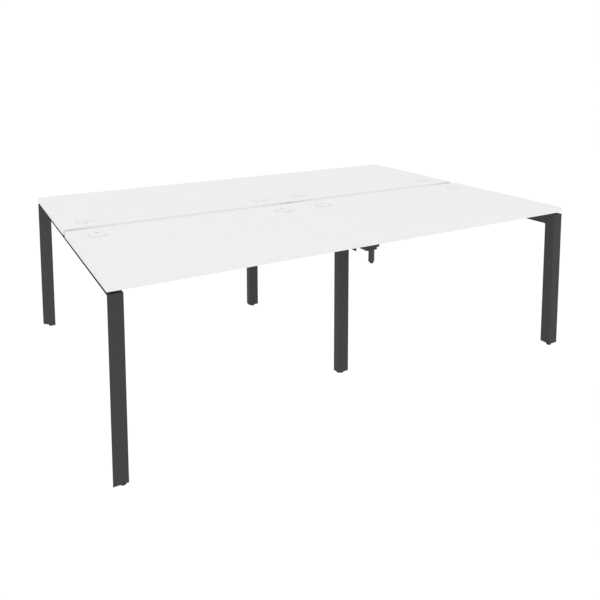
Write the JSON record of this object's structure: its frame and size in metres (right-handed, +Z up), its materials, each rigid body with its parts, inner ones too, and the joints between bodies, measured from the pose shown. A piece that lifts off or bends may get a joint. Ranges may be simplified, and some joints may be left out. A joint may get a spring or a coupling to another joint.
{
  "type": "benching desk",
  "caption": "Back-to-back benching desk: long white worktops on mitred triangular end frames and an inset middle frame, with cable ports and levelling feet.",
  "frame": {"origin": "on the floor, below the middle of the desk", "axes": "+X along the desk from its left end to its right end as seen in the picture, +Y from the front worktop to the back one, +Z up"},
  "size_m": [2.36, 1.64, 0.752],
  "materials": {
    "white_laminate": "matt white laminate on board, with matching edge band",
    "powder_coated_steel": "fine-textured anthracite powder coat",
    "white_plastic": "moulded white plastic with a fine texture",
    "black_plastic": "moulded black plastic",
    "foot_plastic": "moulded anthracite plastic",
    "spacer_strip": "matt black strip"
  },
  "bodies": {
    "desk_frame": {"left_end_beam": "powder_coated_steel", "left_front_leg": "powder_coated_steel", "left_front_leg_plug": "black_plastic", "left_front_spacer": "spacer_strip", "left_front_rail": "powder_coated_steel", "left_back_leg": "powder_coated_steel", "left_back_leg_plug": "black_plastic", "left_back_spacer": "spacer_strip", "left_back_rail": "powder_coated_steel", "right_end_beam": "powder_coated_steel", "right_front_leg": "powder_coated_steel", "right_front_leg_plug": "black_plastic", "right_front_spacer": "spacer_strip", "right_front_rail": "powder_coated_steel", "right_back_leg": "powder_coated_steel", "right_back_leg_plug": "black_plastic", "right_back_spacer": "spacer_strip", "right_back_rail": "powder_coated_steel", "middle_beam": "powder_coated_steel", "middle_front_leg": "powder_coated_steel", "middle_front_leg_plug": "black_plastic", "middle_front_beam_cap": "powder_coated_steel", "middle_front_spacer": "spacer_strip", "middle_front_left_side_plate": "powder_coated_steel", "middle_front_right_side_plate": "powder_coated_steel", "middle_back_leg": "powder_coated_steel", "middle_back_leg_plug": "black_plastic", "middle_back_beam_cap": "powder_coated_steel", "middle_back_spacer": "spacer_strip", "middle_back_left_side_plate": "powder_coated_steel", "middle_back_right_side_plate": "powder_coated_steel", "front_worktop": "white_laminate", "front_far_left_port_ring": "white_plastic", "front_near_left_port_ring": "white_plastic", "front_near_right_port_ring": "white_plastic", "front_far_right_port_ring": "white_plastic", "back_worktop": "white_laminate", "back_far_left_port_ring": "white_plastic", "back_near_left_port_ring": "white_plastic", "back_near_right_port_ring": "white_plastic", "back_far_right_port_ring": "white_plastic"},
    "left_front_foot": {"left_front_foot": "foot_plastic"},
    "left_back_foot": {"left_back_foot": "foot_plastic"},
    "middle_front_foot": {"middle_front_foot": "foot_plastic"},
    "middle_back_foot": {"middle_back_foot": "foot_plastic"},
    "right_front_foot": {"right_front_foot": "foot_plastic"},
    "right_back_foot": {"right_back_foot": "foot_plastic"},
    "front_far_left_port_cap": {"front_far_left_port_cap": "white_plastic"},
    "front_near_left_port_cap": {"front_near_left_port_cap": "white_plastic"},
    "front_near_right_port_cap": {"front_near_right_port_cap": "white_plastic"},
    "front_far_right_port_cap": {"front_far_right_port_cap": "white_plastic"},
    "back_far_left_port_cap": {"back_far_left_port_cap": "white_plastic"},
    "back_near_left_port_cap": {"back_near_left_port_cap": "white_plastic"},
    "back_near_right_port_cap": {"back_near_right_port_cap": "white_plastic"},
    "back_far_right_port_cap": {"back_far_right_port_cap": "white_plastic"}
  },
  "joints": [
    {"name": "left_front_foot_travel", "type": "slide", "parent": "desk_frame", "child": "left_front_foot", "axis": [0, 0, -1], "range_m": [0, 0.015]},
    {"name": "left_back_foot_travel", "type": "slide", "parent": "desk_frame", "child": "left_back_foot", "axis": [0, 0, -1], "range_m": [0, 0.015]},
    {"name": "middle_front_foot_travel", "type": "slide", "parent": "desk_frame", "child": "middle_front_foot", "axis": [0, 0, -1], "range_m": [0, 0.015]},
    {"name": "middle_back_foot_travel", "type": "slide", "parent": "desk_frame", "child": "middle_back_foot", "axis": [0, 0, -1], "range_m": [0, 0.015]},
    {"name": "right_front_foot_travel", "type": "slide", "parent": "desk_frame", "child": "right_front_foot", "axis": [0, 0, -1], "range_m": [0, 0.015]},
    {"name": "right_back_foot_travel", "type": "slide", "parent": "desk_frame", "child": "right_back_foot", "axis": [0, 0, -1], "range_m": [0, 0.015]},
    {"name": "front_far_left_port_cap_turn", "type": "hinge", "parent": "desk_frame", "child": "front_far_left_port_cap", "pos_m": [-1.06, -0.14, 0.75], "axis": [0, 0, 1], "continuous": true},
    {"name": "front_near_left_port_cap_turn", "type": "hinge", "parent": "desk_frame", "child": "front_near_left_port_cap", "pos_m": [-0.12, -0.14, 0.75], "axis": [0, 0, 1], "continuous": true},
    {"name": "front_near_right_port_cap_turn", "type": "hinge", "parent": "desk_frame", "child": "front_near_right_port_cap", "pos_m": [0.12, -0.14, 0.75], "axis": [0, 0, 1], "continuous": true},
    {"name": "front_far_right_port_cap_turn", "type": "hinge", "parent": "desk_frame", "child": "front_far_right_port_cap", "pos_m": [1.06, -0.14, 0.75], "axis": [0, 0, 1], "continuous": true},
    {"name": "back_far_left_port_cap_turn", "type": "hinge", "parent": "desk_frame", "child": "back_far_left_port_cap", "pos_m": [-1.06, 0.14, 0.75], "axis": [0, 0, 1], "continuous": true},
    {"name": "back_near_left_port_cap_turn", "type": "hinge", "parent": "desk_frame", "child": "back_near_left_port_cap", "pos_m": [-0.12, 0.14, 0.75], "axis": [0, 0, 1], "continuous": true},
    {"name": "back_near_right_port_cap_turn", "type": "hinge", "parent": "desk_frame", "child": "back_near_right_port_cap", "pos_m": [0.12, 0.14, 0.75], "axis": [0, 0, 1], "continuous": true},
    {"name": "back_far_right_port_cap_turn", "type": "hinge", "parent": "desk_frame", "child": "back_far_right_port_cap", "pos_m": [1.06, 0.14, 0.75], "axis": [0, 0, 1], "continuous": true}
  ]
}
